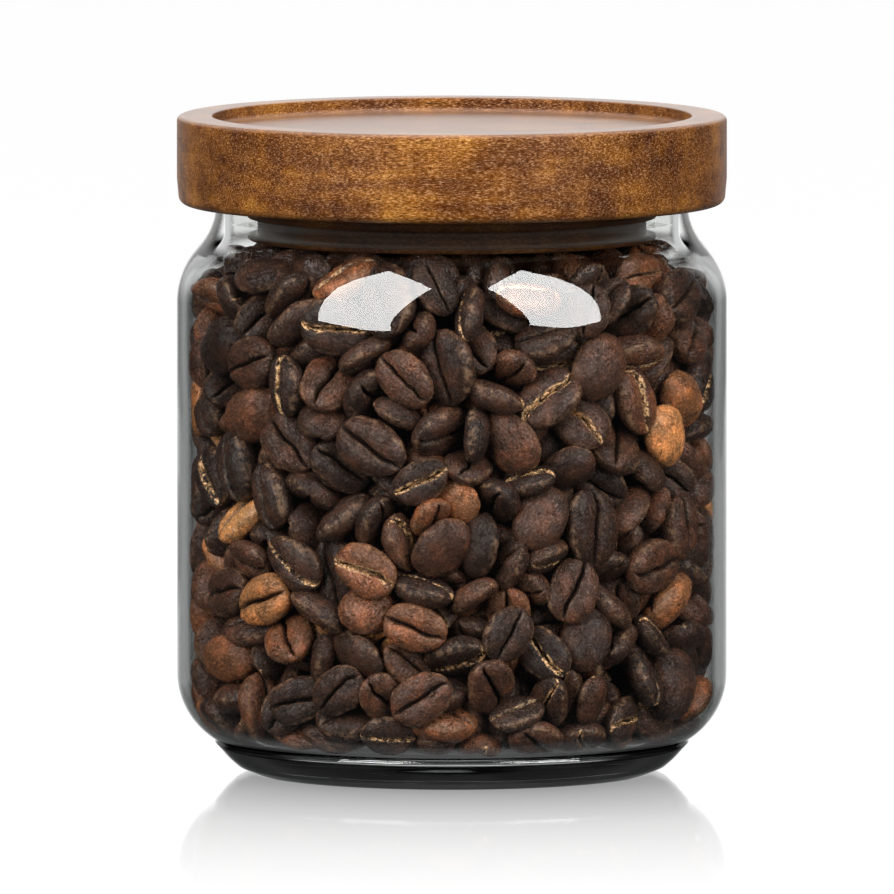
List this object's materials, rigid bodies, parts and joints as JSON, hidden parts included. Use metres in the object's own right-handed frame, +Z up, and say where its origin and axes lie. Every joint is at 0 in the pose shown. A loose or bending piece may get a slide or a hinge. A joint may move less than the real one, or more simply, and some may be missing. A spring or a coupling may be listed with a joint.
{
  "type": "food canister",
  "caption": "Small round glass storage jar with a sloping shoulder, a turned wooden plug lid with a stacking recess, and a silicone sealing ring that lifts off with the lid.",
  "frame": {"origin": "centre of the foot's contact ring, on the surface the canister stands on", "axes": "+Z up along the axis that every piece is turned about; X and Y are alike"},
  "size_m": [0.09, 0.09, 0.1077],
  "materials": {
    "glass": "clear, polished",
    "wood": "satin oiled hardwood",
    "seal": "translucent silicone"
  },
  "bodies": {
    "jar": {"glass_jar": "glass"},
    "seal": {"seal_ring": "seal"},
    "lid": {"wooden_lid": "wood"}
  },
  "joints": [
    {"name": "lid_lift", "type": "slide", "parent": "jar", "child": "seal", "axis": [0, 0, 1], "range_m": [0, 0.06]},
    {"name": "lid_twist", "type": "hinge", "parent": "seal", "child": "lid", "pos_m": [0, 0, 0.0932], "axis": [0, 0, 1], "continuous": true}
  ]
}
